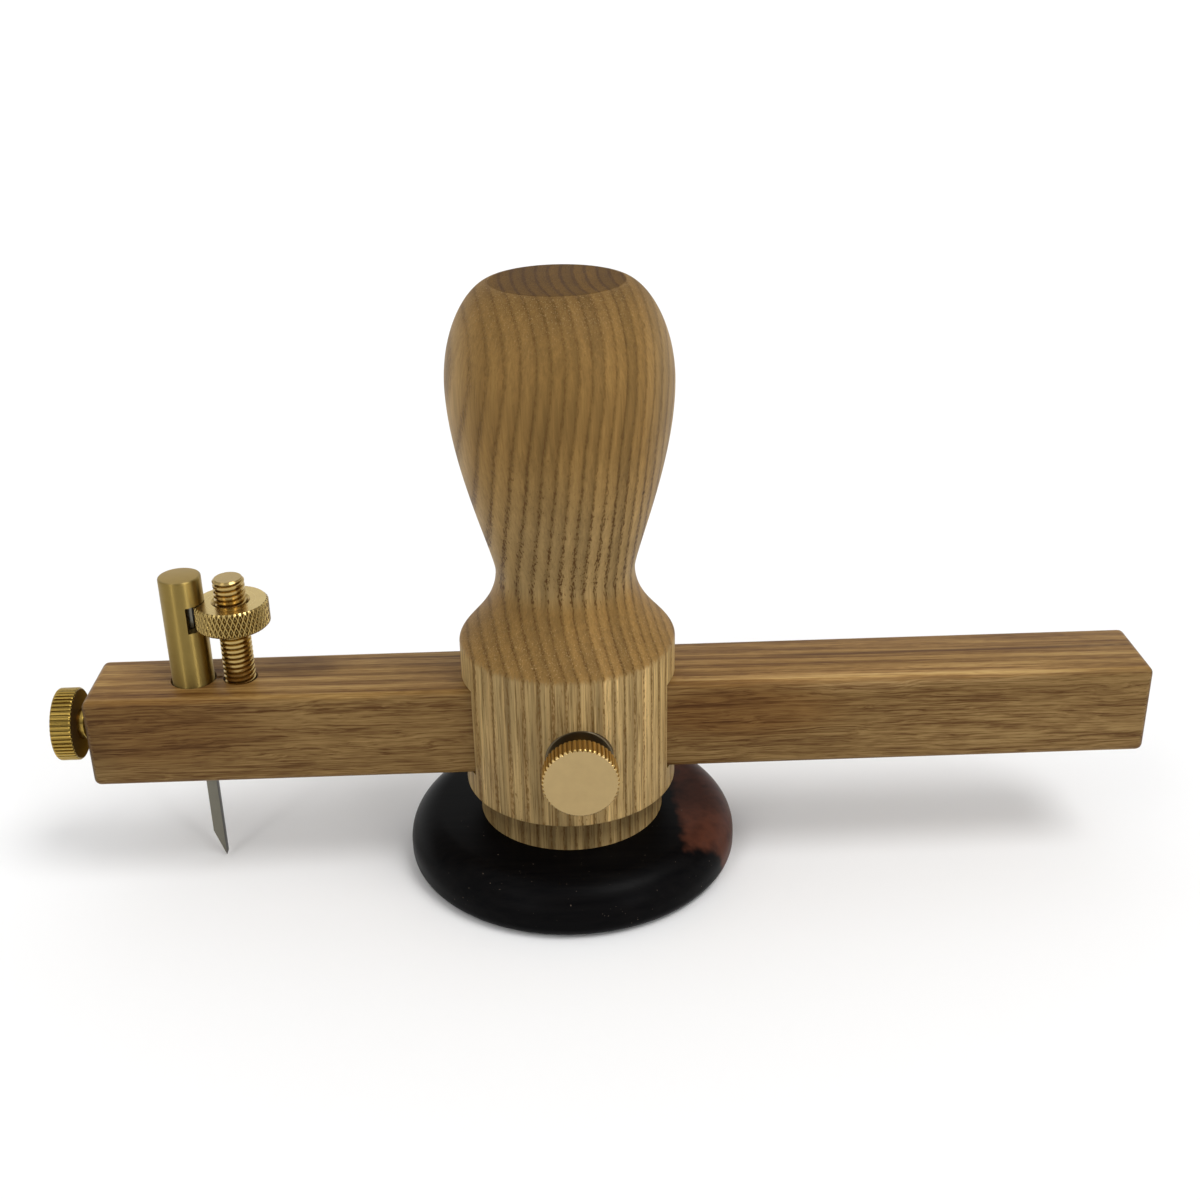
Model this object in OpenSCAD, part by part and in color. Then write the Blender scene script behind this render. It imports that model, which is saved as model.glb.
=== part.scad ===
// Rosette cutter: a turned handle on a round sole, a sliding beam through the handle, and a
// cutter post at the beam's end that a knurled nut raises and lowers.
// Origin at the centre of the sole's underside, +Z up, beam along X, cutter at -X.

/* [Sole] */
// Diameter of the round sole
sole_d = 64.6; // [56:0.2:90]
// Thickness of the sole
sole_h = 10.2; // [9.6:0.2:14]
// Radius of the sole's upper edge
sole_top_round = 6.3; // [1:0.1:6.8]
// Radius of the sole's lower edge
sole_foot_round = 2.6; // [0.4:0.1:2.8]
// Diameter of the pivot pin's bore
pivot_d = 6; // [4:0.5:8]
// How far the pivot bush reaches up into the handle
bush_dowel = 3.3; // [2:0.1:5]
// Thickness of the pivot bush's closed end
bush_cap = 1.5; // [1:0.1:3]
// Wall of the bush around the pivot bore
bush_wall = 2; // [1.5:0.25:3]
// How far the bush's flange stands out past its barrel
bush_flange = 2; // [1:0.25:3]
// Thickness of the bush's flange
bush_flange_h = 1.5; // [1:0.1:2.5]
// Number of screws that hold the sole
sole_screw_count = 3; // [3:1:6]
// Distance of the sole screws from the centre
sole_screw_r = 13; // [12:0.5:14.5]
// Thread diameter of the sole screws
sole_screw_d = 3.4; // [2.5:0.1:4]
// Length of the sole screws
sole_screw_l = 18; // [14:0.5:19]

/* [Handle] */
// Height from the sole's top to the handle's top
handle_h = 104.8; // [95:0.2:130]
// Diameter of the step below the barrel, where the handle meets the sole
foot_d = 36; // [34:0.5:38]
// Height of the step above the sole
foot_h = 6.8; // [2:0.2:8.4]
// Diameter of the barrel that the beam passes through
barrel_d = 41; // [39:0.1:48]
// Height of the barrel's shoulder above the sole
shoulder_h = 36.9; // [34:0.1:42]
// Diameter of the neck
neck_d = 26; // [20:0.5:30]
// Height of the neck above the sole
neck_h = 51.1; // [48:0.1:56]
// Largest diameter of the grip
grip_d = 40.8; // [32:0.2:48]
// Height of the grip's widest place above the sole
grip_h = 86.8; // [80:0.2:92]
// Diameter of the flat on the handle's top
top_flat_d = 22.8; // [10:0.2:26]

/* [Beam] */
// Width of the beam, front to back
beam_w = 18; // [16:0.5:20]
// Height of the beam
beam_h = 18; // [16:0.5:20]
// Length of the beam
beam_l = 202; // [150:1:300]
// Distance from the handle's axis to the beam's cutter end
beam_reach = 91; // [80:1:140]
// Height of the beam's underside above the sole
beam_floor = 12; // [9:0.5:14]
// Radius of the beam's rounded edges
beam_round = 1.4; // [0.4:0.1:3]
// Clearance around the beam in the handle, on each side
slide_gap = 0.1; // [0.05:0.01:0.1]

/* [Thumb screws and threads] */
// Diameter of the knurled heads
head_d = 14; // [11:0.2:16]
// Length of the knurled heads
head_l = 4; // [3:0.2:7]
// Number of ridges around a head
ridge_count = 48; // [24:1:60]
// Depth of the grooves between the ridges
ridge_depth = 0.35; // [0.2:0.05:0.6]
// Bevel at the ends of the knurled heads
head_bevel = 0.35; // [0.2:0.05:0.8]
// Outer diameter of the threads
thread_d = 5.9; // [4:0.1:6.5]
// Pitch of the threads
thread_pitch = 1; // [0.7:0.05:1.25]
// Depth of the thread grooves
thread_depth = 0.45; // [0.3:0.05:0.5]
// Outer diameter of the threaded inserts
insert_d = 9; // [8.4:0.2:11]
// Radial clearance of a screw in its insert and of a pad in its bore
turn_gap = 0.1; // [0.05:0.01:0.1]
// How far a thumb screw and its pad back off
screw_travel = 2; // [1:0.25:2.5]
// Gap between a backed-off pad and its insert
stop_gap = 0.15; // [0.05:0.05:0.5]
// Gap between a pressed pad and what it presses on
pad_gap = 0.02; // [0.01:0.01:0.05]

/* [Handle clamp] */
// Sideways distance of the clamp screw from the handle's axis
clamp_x = 1.5; // [-3:0.1:3]
// Gap between the clamp screw's head and the insert's flange
clamp_head_gap = 3.9; // [2:0.1:6]
// Diameter of the insert's flange
flange_d = 12.6; // [11:0.2:15]
// Thickness of the insert's flange
flange_h = 1.4; // [0.8:0.1:2]
// Depth of the spot face that seats the flange
spot_face_h = 1.5; // [0.8:0.1:2]
// Diameter of the pad that presses on the beam
clamp_pad_d = 8.2; // [6:0.2:8.2]
// Thickness of that pad
clamp_pad_h = 1.4; // [1:0.1:1.5]

/* [Cutter lock] */
// Gap between the lock screw's head and the beam's end
lock_head_gap = 3.3; // [2.2:0.1:6]
// Diameter of the pad that presses on the post
lock_pad_d = 6.2; // [5:0.2:7]
// Length of that pad
lock_pad_h = 3; // [2:0.25:3]

/* [Cutter] */
// Distance of the post's axis from the beam's end
post_in = 19.4; // [19:0.2:24]
// Diameter of the post
post_d = 7.9; // [7:0.1:9]
// Height of the post above the beam
post_top = 21.5; // [19:0.5:26]
// Height of the post's lower end above the beam's underside
post_foot = 1.5; // [0.5:0.1:4]
// Radial clearance of the post in the beam
post_gap = 0.1; // [0.05:0.01:0.1]
// Bevel around the post's ends
post_bevel = 0.35; // [0.1:0.05:1]
// Gap between the nut's rim and the notch's wall
notch_play = 0.75; // [0.3:0.05:0.9]
// Play above and below the nut in the notch
notch_gap = 0.15; // [0.1:0.05:0.3]
// Width of the square blade
blade_w = 2; // [1.6:0.1:2.2]
// Distance of the blade's axis from the post's axis
blade_x = 0.75; // [0:0.05:0.8]
// Height of the blade's tip above the sole's underside
tip_h = 0.44; // [0.1:0.02:6]
// Length of the bevel at the blade's tip
blade_bevel_l = 5.9; // [2:0.1:10]
// How far the blade's upper end sits above the notch
blade_socket = 0.9; // [0.5:0.1:2]
// Radial clearance at the corners of the blade in its bore
blade_gap = 0.05; // [0.02:0.01:0.1]
// Diameter of the grub screw that holds the blade
grub_d = 3; // [2.5:0.5:3]
// Height of the grub screw above the beam
grub_z = 6.8; // [4:0.2:8]

/* [Depth screw and nut] */
// Gap between the nut's rim and the blade
rim_gap = 0.2; // [0.1:0.05:0.4]
// Height of the depth screw above the beam
screw_top = 20.9; // [18:0.1:26]
// Length of the depth screw in the beam
screw_in = 15; // [8:0.5:16]
// Diameter of the depth nut
nut_d = 13.9; // [13:0.1:16]
// Thickness of the depth nut
nut_h = 4.9; // [3:0.1:6]
// Height of the depth nut above the beam
nut_z = 11.3; // [9:0.1:13]
// Bevel around the depth nut's rim
nut_bevel = 0.4; // [0.2:0.05:1]

/* [Hidden] */
$fn = 96;
eps = 0.01;
wood_gap = 0.05;

beam_z = sole_h + beam_floor;
beam_mid = beam_z + beam_h / 2;
beam_top = beam_z + beam_h;
handle_top = sole_h + handle_h;
foot_z = sole_h + foot_h;
shoulder_z = sole_h + shoulder_h;
neck_z = sole_h + neck_h;
grip_z = sole_h + grip_h;
mortise_w = beam_w + 2 * slide_gap;
mortise_h = beam_h + 2 * slide_gap;

thread_r = thread_d / 2;
thread_bore_r = thread_r + turn_gap;

bush_r = pivot_d / 2 + bush_wall;
bush_flange_r = bush_r + bush_flange;
bush_top = sole_h + bush_dowel;
screw_head_r = sole_screw_d;
screw_head_h = 2.2;
screw_sink = 0.5;

clamp_front = sqrt(pow(barrel_d / 2, 2) - pow(clamp_x, 2));
flange_back_y = -clamp_front + spot_face_h;
flange_front_y = flange_back_y - flange_h;
clamp_pad_y = -beam_w / 2 - pad_gap;
clamp_tip_y = clamp_pad_y - clamp_pad_h;
clamp_pocket_y = clamp_tip_y - screw_travel - stop_gap;
clamp_insert_l = clamp_pocket_y - flange_back_y;
clamp_head_y = flange_front_y - clamp_head_gap;

post_x = post_in - beam_reach;
rim_x = blade_x + blade_w / 2 + rim_gap;
screw_x = post_x + rim_x + nut_d / 2;
lock_pad_x = post_x - post_d / 2 - pad_gap;
lock_tip_x = lock_pad_x - lock_pad_h;
lock_insert_l = lock_tip_x - screw_travel - stop_gap + beam_reach;
post_z0 = beam_z + post_foot;
post_l = beam_top + post_top - post_z0;
notch_z0 = beam_top + nut_z - notch_gap;
notch_h = nut_h + 2 * notch_gap;
blade_l = notch_z0 + notch_h + blade_socket - tip_h;
blade_bore_r = blade_w / sqrt(2) + blade_gap;

ash = [0.76, 0.62, 0.43];
dark_ash = [0.52, 0.38, 0.24];
ebony = [0.06, 0.055, 0.055];
brass = [0.79, 0.62, 0.31];
steel = [0.55, 0.55, 0.55];
dark_steel = [0.16, 0.16, 0.16];

// Points of a cubic curve through p[0] and p[3], pulled towards p[1] and p[2]
function curve(p, n = 16) = [for (i = [0 : n]) let (t = i / n, u = 1 - t)
    u * u * u * p[0] + 3 * u * u * t * p[1] + 3 * u * t * t * p[2] + t * t * t * p[3]];

// Points of an arc about c from angle a0 to a1
function arc(c, r, a0, a1, n = 12) = [for (i = [0 : n]) let (a = a0 + (a1 - a0) * i / n)
    c + r * [cos(a), sin(a)]];

// Rod along +Z with bevelled ends
module bevelled_rod(d, h, bevel) {
    rotate_extrude() polygon([[0, 0], [d / 2 - bevel, 0], [d / 2, bevel],
        [d / 2, h - bevel], [d / 2 - bevel, h], [0, h]]);
}

// Threaded rod along +Z, with a plain neck at the start and a bevelled end
module threaded_rod(h, neck) {
    root_r = thread_r - thread_depth;
    turns = floor((h - neck - thread_pitch / 2) / thread_pitch);
    grooves = [for (i = [0 : turns - 1]) let (z = neck + i * thread_pitch)
        each [[thread_r, z], [root_r, z + thread_pitch / 2]]];
    end_z = neck + turns * thread_pitch;
    rotate_extrude() polygon(concat([[0, 0], [thread_r, 0]], grooves,
        [[thread_r, end_z], [root_r, h], [0, h]]));
}

// Knurled disc along +Z with straight ridges and bevelled rims
module ridged_disc() {
    intersection() {
        linear_extrude(head_l) polygon([for (i = [0 : 2 * ridge_count - 1])
            let (r = head_d / 2 - (i % 2) * ridge_depth, a = i * 180 / ridge_count)
            r * [cos(a), sin(a)]]);
        bevelled_rod(head_d, head_l, head_bevel);
    }
}

// Thumb screw along +Z: the head's back is at z = 0, and the shank runs up from there
module thumb_screw(shank_l) {
    translate([0, 0, -head_l]) ridged_disc();
    threaded_rod(shank_l, thread_pitch);
}

// Rounded square of w by h, centred
module rounded_square(w, h, r) {
    square([w - 2 * r, h], center = true);
    square([w, h - 2 * r], center = true);
    for (x = [-1, 1], y = [-1, 1])
        translate([x * (w / 2 - r), y * (h / 2 - r)]) circle(r, $fn = 32);
}

// Bar along X with all its edges rounded, from the origin to +X
module rounded_bar(l, w, h, r) {
    translate([l / 2, 0, h / 2]) intersection() {
        rotate([90, 0, 90]) linear_extrude(l, center = true) rounded_square(w, h, r);
        linear_extrude(h, center = true) rounded_square(l, w, r);
        rotate([90, 0, 0]) linear_extrude(w, center = true) rounded_square(l, h, r);
    }
}

// Turned outline of the handle, from the sole to the flat top
function handle_outline() =
    let (
        barrel_r = barrel_d / 2, neck_r = neck_d / 2, grip_r = grip_d / 2, top_r = top_flat_d / 2,
        cove = neck_z - shoulder_z, rise = grip_z - neck_z, crown = handle_top - grip_z
    )
    concat(
        [[0, sole_h], [foot_d / 2, sole_h], [foot_d / 2, foot_z], [barrel_r, foot_z]],
        curve([[barrel_r, shoulder_z], [barrel_r, shoulder_z + 0.14 * cove],
            [neck_r, neck_z - 0.55 * cove], [neck_r, neck_z]]),
        curve([[neck_r, neck_z], [neck_r, neck_z + 0.1 * rise],
            [grip_r, grip_z - 0.41 * rise], [grip_r, grip_z]]),
        curve([[grip_r, grip_z], [grip_r, grip_z + 0.57 * crown],
            [top_r + 0.43 * (grip_r - top_r), handle_top], [top_r, handle_top]]),
        [[0, handle_top]]
    );

module sole_screw_places() {
    for (i = [0 : sole_screw_count - 1])
        rotate([0, 0, 90 + i * 360 / sole_screw_count]) translate([sole_screw_r, 0, 0]) children();
}

// Countersunk screw along +Z, with its head at the bottom, grown by gap all round
module countersunk(gap) {
    r = sole_screw_d / 2;
    translate([0, 0, screw_sink - gap]) cylinder(h = screw_head_h + gap,
        r1 = screw_head_r + gap, r2 = r + gap);
    translate([0, 0, screw_sink]) cylinder(h = sole_screw_l + gap, r = r + gap);
}

// Turned handle, with the beam's mortise and the clamp's bores
module handle() {
    color(ash) difference() {
        rotate_extrude() polygon(handle_outline());
        translate([-barrel_d, -mortise_w / 2, beam_z - slide_gap])
            cube([2 * barrel_d, mortise_w, mortise_h]);
        translate([clamp_x, 0, beam_mid]) rotate([90, 0, 0]) {
            cylinder(h = barrel_d, r = clamp_pad_d / 2 + turn_gap);
            translate([0, 0, -clamp_pocket_y]) cylinder(h = barrel_d, r = insert_d / 2);
            translate([0, 0, -flange_back_y]) cylinder(h = barrel_d, r = flange_d / 2 + wood_gap);
        }
        translate([0, 0, sole_h - eps]) cylinder(h = bush_top - sole_h + eps, r = bush_r);
        sole_screw_places() countersunk(wood_gap);
    }
}

// Round sole with a softly rounded edge
module sole() {
    r = sole_d / 2;
    color(ebony) difference() {
        rotate_extrude() polygon(concat([[0, 0]],
            arc([r - sole_foot_round, sole_foot_round], sole_foot_round, -90, 0),
            arc([r - sole_top_round, sole_h - sole_top_round], sole_top_round, 0, 90),
            [[0, sole_h]]));
        translate([0, 0, -eps]) cylinder(h = sole_h + 2 * eps, r = bush_r);
        translate([0, 0, -eps]) cylinder(h = bush_flange_h + eps, r = bush_flange_r);
        sole_screw_places() {
            countersunk(wood_gap);
            translate([0, 0, -eps]) cylinder(h = screw_sink + 2 * eps, r = screw_head_r + wood_gap);
        }
    }
}

// Blind bush for the pivot pin, which also centres the sole on the handle
module pivot_bush() {
    color(brass) difference() {
        union() {
            cylinder(h = bush_top, r = bush_r);
            cylinder(h = bush_flange_h, r = bush_flange_r);
        }
        translate([0, 0, -eps]) cylinder(h = bush_top - bush_cap + eps, r = pivot_d / 2);
    }
}

module sole_screws() {
    color(steel) sole_screw_places() countersunk(0);
}

// Flanged insert in the barrel's front
module clamp_insert() {
    color(dark_steel) translate([clamp_x, 0, beam_mid]) rotate([90, 0, 0]) difference() {
        union() {
            translate([0, 0, -clamp_pocket_y])
                cylinder(h = clamp_insert_l + flange_h / 2, r = insert_d / 2);
            translate([0, 0, -flange_back_y]) cylinder(h = flange_h, r = flange_d / 2);
        }
        translate([0, 0, -clamp_pocket_y - eps])
            cylinder(h = clamp_insert_l + flange_h + 2 * eps, r = thread_bore_r);
    }
}

// Pad between the clamp screw's tip and the beam
module clamp_pad() {
    color(brass) translate([clamp_x, clamp_pad_y, beam_mid]) rotate([90, 0, 0])
        bevelled_rod(clamp_pad_d, clamp_pad_h, clamp_pad_h / 6);
}

module clamp_screw() {
    color(brass) translate([clamp_x, clamp_head_y, beam_mid]) rotate([-90, 0, 0])
        thumb_screw(clamp_tip_y - clamp_head_y);
}

// Square beam, with the bores for the post, the depth screw and the lock
module beam() {
    color(dark_ash) difference() {
        translate([-beam_reach, 0, beam_z]) rounded_bar(beam_l, beam_w, beam_h, beam_round);
        translate([post_x, 0, beam_z - eps]) cylinder(h = beam_h + 2 * eps, r = post_d / 2 + post_gap);
        translate([screw_x, 0, beam_top - screw_in]) cylinder(h = screw_in + eps, r = thread_r + wood_gap);
        translate([-beam_reach - eps, 0, beam_mid]) rotate([0, 90, 0])
            cylinder(h = lock_insert_l + eps, r = insert_d / 2);
        translate([-beam_reach, 0, beam_mid]) rotate([0, 90, 0])
            cylinder(h = post_in, r = lock_pad_d / 2 + turn_gap);
    }
}

// Threaded rod that stands fast in the beam
module depth_screw() {
    color(brass) translate([screw_x, 0, beam_top - screw_in])
        threaded_rod(screw_in + screw_top, screw_in);
}

module lock_insert() {
    color(dark_steel) translate([-beam_reach, 0, beam_mid]) rotate([0, 90, 0]) difference() {
        cylinder(h = lock_insert_l, r = insert_d / 2);
        translate([0, 0, -eps]) cylinder(h = lock_insert_l + 2 * eps, r = thread_bore_r);
    }
}

// Pad between the lock screw's tip and the post
module lock_pad() {
    color(brass) translate([lock_tip_x, 0, beam_mid]) rotate([0, 90, 0])
        bevelled_rod(lock_pad_d, lock_pad_h, lock_pad_h / 10);
}

module lock_screw() {
    head_x = -beam_reach - lock_head_gap;
    color(brass) translate([head_x, 0, beam_mid]) rotate([0, 90, 0])
        thumb_screw(lock_tip_x - head_x);
}

// Post with the nut's notch, the blade's bore and the grub screw's hole
module cutter_post() {
    color(brass) difference() {
        translate([post_x, 0, post_z0]) bevelled_rod(post_d, post_l, post_bevel);
        translate([post_x + rim_x - notch_play, -post_d, notch_z0]) cube([post_d, 2 * post_d, notch_h]);
        translate([post_x + blade_x, 0, post_z0 - eps])
            cylinder(h = tip_h + blade_l + blade_gap - post_z0 + eps, r = blade_bore_r);
        translate([post_x + blade_x, 0, beam_top + grub_z]) rotate([-90, 0, 0])
            cylinder(h = post_d, r = grub_d / 2);
    }
}

// Square blade, ground to a point on the side of the handle
module cutter_blade() {
    w = blade_w;
    color(steel) translate([post_x + blade_x - w / 2, w / 2, tip_h]) rotate([90, 0, 0])
        linear_extrude(w) polygon([[w, 0], [w, blade_l], [0, blade_l], [0, blade_bevel_l]]);
}

module blade_grub_screw() {
    tip_y = blade_w / 2 + blade_gap;
    grub_l = sqrt(pow(post_d / 2, 2) - pow(blade_x + grub_d / 2, 2)) - tip_y;
    color(dark_steel) translate([post_x + blade_x, tip_y, beam_top + grub_z]) rotate([-90, 0, 0])
        cylinder(h = grub_l, r = grub_d / 2 - wood_gap);
}

// Round nut whose rim turns in the post's notch
module depth_nut() {
    color(brass) translate([screw_x, 0, beam_top + nut_z]) difference() {
        bevelled_rod(nut_d, nut_h, nut_bevel);
        translate([0, 0, -eps]) cylinder(h = nut_h + 2 * eps, r = thread_bore_r);
        translate([0, 0, nut_h - 2 * nut_bevel])
            cylinder(h = 2 * nut_bevel + eps, r1 = thread_bore_r, r2 = thread_bore_r + 2 * nut_bevel);
    }
}

handle();
sole();
pivot_bush();
sole_screws();
clamp_insert();
clamp_pad();
clamp_screw();
beam();
depth_screw();
lock_insert();
lock_pad();
lock_screw();
cutter_post();
cutter_blade();
blade_grub_screw();
depth_nut();
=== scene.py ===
"""Looks of the rosette cutter: turned ash handle, ebony sole, brown ash beam and brass fittings."""
import math

import bmesh
import bpy
from mathutils import Matrix, Vector


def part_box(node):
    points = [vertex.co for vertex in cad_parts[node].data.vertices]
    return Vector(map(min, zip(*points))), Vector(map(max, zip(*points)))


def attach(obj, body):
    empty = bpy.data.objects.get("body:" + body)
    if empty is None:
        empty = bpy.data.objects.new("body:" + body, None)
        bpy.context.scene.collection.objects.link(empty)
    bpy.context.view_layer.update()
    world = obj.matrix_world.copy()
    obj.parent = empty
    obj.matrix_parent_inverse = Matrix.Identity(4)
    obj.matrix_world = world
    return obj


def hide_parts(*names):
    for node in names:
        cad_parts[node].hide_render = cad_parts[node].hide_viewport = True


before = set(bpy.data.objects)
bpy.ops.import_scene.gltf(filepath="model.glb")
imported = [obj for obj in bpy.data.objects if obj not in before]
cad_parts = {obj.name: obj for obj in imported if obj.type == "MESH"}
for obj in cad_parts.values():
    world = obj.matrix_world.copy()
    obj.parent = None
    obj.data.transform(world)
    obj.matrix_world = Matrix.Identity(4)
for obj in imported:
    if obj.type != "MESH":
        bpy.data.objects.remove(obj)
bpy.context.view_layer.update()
MM = 0.001
EPS = 0.01 * MM


# Places and sizes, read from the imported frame

def box_mid(node):
    low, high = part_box(node)
    return (low + high) / 2


HANDLE_LOW, HANDLE_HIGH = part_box("handle")
SOLE_LOW, SOLE_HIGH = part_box("sole")
BEAM_LOW, BEAM_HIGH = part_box("beam")
POST_LOW, POST_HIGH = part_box("cutter_post")
NUT_LOW, NUT_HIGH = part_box("depth_nut")
ROD_LOW, ROD_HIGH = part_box("depth_screw")
BLADE_LOW, BLADE_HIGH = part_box("cutter_blade")
CLAMP_LOW, CLAMP_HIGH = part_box("clamp_screw")
LOCK_LOW, LOCK_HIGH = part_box("lock_screw")
FLANGE_LOW, FLANGE_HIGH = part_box("clamp_insert")
BUSH_LOW, BUSH_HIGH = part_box("pivot_bush")
SCREWS_LOW, SCREWS_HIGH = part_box("sole_screws")
SOLE_R = SOLE_HIGH.x
SOLE_H = SOLE_HIGH.z
TOP_Z = HANDLE_HIGH.z
BEAM_MID = (BEAM_LOW + BEAM_HIGH) / 2
POST_MID = box_mid("cutter_post")
NUT_MID = box_mid("depth_nut")
CLAMP_X = box_mid("clamp_screw").x
THREAD_D = ROD_HIGH.x - ROD_LOW.x

# Turned outline of the handle
FOOT_R = 18 * MM
FOOT_H = 6.8 * MM
BARREL_R = 20.5 * MM
SHOULDER_H = 36.9 * MM
NECK_R = 13 * MM
NECK_H = 51.1 * MM
GRIP_R = 20.4 * MM
GRIP_H = 86.8 * MM
TOP_R = 11.4 * MM
SLIDE_GAP = 0.1 * MM

# Brass fittings
HEAD_L = 4 * MM
RIDGE_COUNT = 48
RIDGE_DEPTH = 0.35 * MM
THREAD_PITCH = 1 * MM
THREAD_DEPTH = 0.5 * MM
TURN_GAP = 0.1 * MM

# Sole screws
SCREW_COUNT = 3
SCREW_HEAD_R = 3.4 * MM
SCREW_HEAD_H = 2.2 * MM
SCREW_SHANK_R = 1.7 * MM
SLOT_W = 0.8 * MM
SLOT_DEPTH = 0.9 * MM
SLOT_ANGLES = (20, 75, 140)


# Meshes

def new_object(name, mesh):
    piece = bpy.data.objects.new(name, mesh)
    bpy.context.scene.collection.objects.link(piece)
    return piece


def from_bmesh(name, bm):
    """Object of a bmesh, with doubled points joined and all normals outward."""
    bmesh.ops.remove_doubles(bm, verts=bm.verts, dist=1e-7)
    bmesh.ops.dissolve_degenerate(bm, edges=bm.edges, dist=1e-8)
    bmesh.ops.recalc_face_normals(bm, faces=bm.faces)
    mesh = bpy.data.meshes.new(name)
    bm.to_mesh(mesh)
    bm.free()
    return new_object(name, mesh)


def smooth(piece, angle=30):
    """Smooth shading, with edges sharper than the angle kept crisp."""
    bm = bmesh.new()
    bm.from_mesh(piece.data)
    limit = math.radians(angle)
    for face in bm.faces:
        face.smooth = True
    for edge in bm.edges:
        edge.smooth = len(edge.link_faces) == 2 and edge.calc_face_angle(0) < limit
    bm.to_mesh(piece.data)
    bm.free()
    return piece


def grid_surface(bm, rows):
    """Faces between rows of points, each row one turn with its first point repeated."""
    verts = [[bm.verts.new(p) for p in row] for row in rows]
    for a, b in zip(verts, verts[1:]):
        for i in range(len(a) - 1):
            bm.faces.new((a[i], a[i + 1], b[i + 1], b[i]))
    return verts


def turned(name, outline, segments=192, radius=None):
    """Body turned about +Z from (radius, height) points. radius(r, z, angle) may shape the surface."""
    bm = bmesh.new()
    rows = []
    for r, z in outline:
        row = []
        for i in range(segments + 1):
            angle = 2 * math.pi * (i % segments) / segments
            rr = radius(r, z, angle) if radius else r
            row.append((rr * math.cos(angle), rr * math.sin(angle), z))
        rows.append(row)
    verts = grid_surface(bm, rows)
    closed = outline[0] == outline[-1]
    for end in (verts[0], verts[-1]):
        if not closed and (end[0].co - end[1].co).length > 1e-8:
            bm.faces.new(end[:-1])
    return from_bmesh(name, bm)


def placed(piece, matrix):
    """Moves the mesh, and leaves the object at the origin."""
    piece.data.transform(matrix)
    return piece


def along(direction, at):
    """Matrix that stands a body made along +Z on the point at, along direction."""
    turn = Vector((0, 0, 1)).rotation_difference(Vector(direction)).to_matrix().to_4x4()
    return Matrix.Translation(at) @ turn


def carve(piece, *tools, operation="DIFFERENCE"):
    """Cuts the tools out of the piece, or joins them to it, and deletes them."""
    for tool in tools:
        modifier = piece.modifiers.new("carve", "BOOLEAN")
        modifier.operation = operation
        modifier.solver = "EXACT"
        modifier.object = tool
        depsgraph = bpy.context.evaluated_depsgraph_get()
        mesh = bpy.data.meshes.new_from_object(piece.evaluated_get(depsgraph))
        piece.modifiers.clear()
        piece.data = mesh
        bpy.data.objects.remove(tool)
    return piece


def block(name, low, high, bevel=0.0, segments=5):
    """Box between two corners, with its edges rounded."""
    bm = bmesh.new()
    bmesh.ops.create_cube(bm, size=1)
    low, high = Vector(low), Vector(high)
    for vert in bm.verts:
        vert.co = Vector(l + (h - l) * (c + 0.5) for l, h, c in zip(low, high, vert.co))
    if bevel:
        bmesh.ops.bevel(bm, geom=list(bm.edges), offset=bevel, segments=segments,
                        profile=0.5, affect="EDGES", clamp_overlap=True)
    return from_bmesh(name, bm)


def cubic(p0, p1, p2, p3, n):
    """Points of a cubic curve."""
    points = []
    for i in range(n + 1):
        t = i / n
        u = 1 - t
        weights = (u * u * u, 3 * u * u * t, 3 * u * t * t, t * t * t)
        points.append(tuple(sum(w * p[k] for w, p in zip(weights, (p0, p1, p2, p3))) for k in (0, 1)))
    return points


def arc(cx, cz, r, a0, a1, n):
    """Points of an arc in degrees."""
    angles = [math.radians(a0 + (a1 - a0) * i / n) for i in range(n + 1)]
    return [(cx + r * math.cos(a), cz + r * math.sin(a)) for a in angles]


def line(p, q, step):
    """Points from p towards q, without q."""
    n = max(1, round(math.dist(p, q) / step))
    return [(p[0] + (q[0] - p[0]) * i / n, p[1] + (q[1] - p[1]) * i / n) for i in range(n)]


# Node materials

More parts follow.
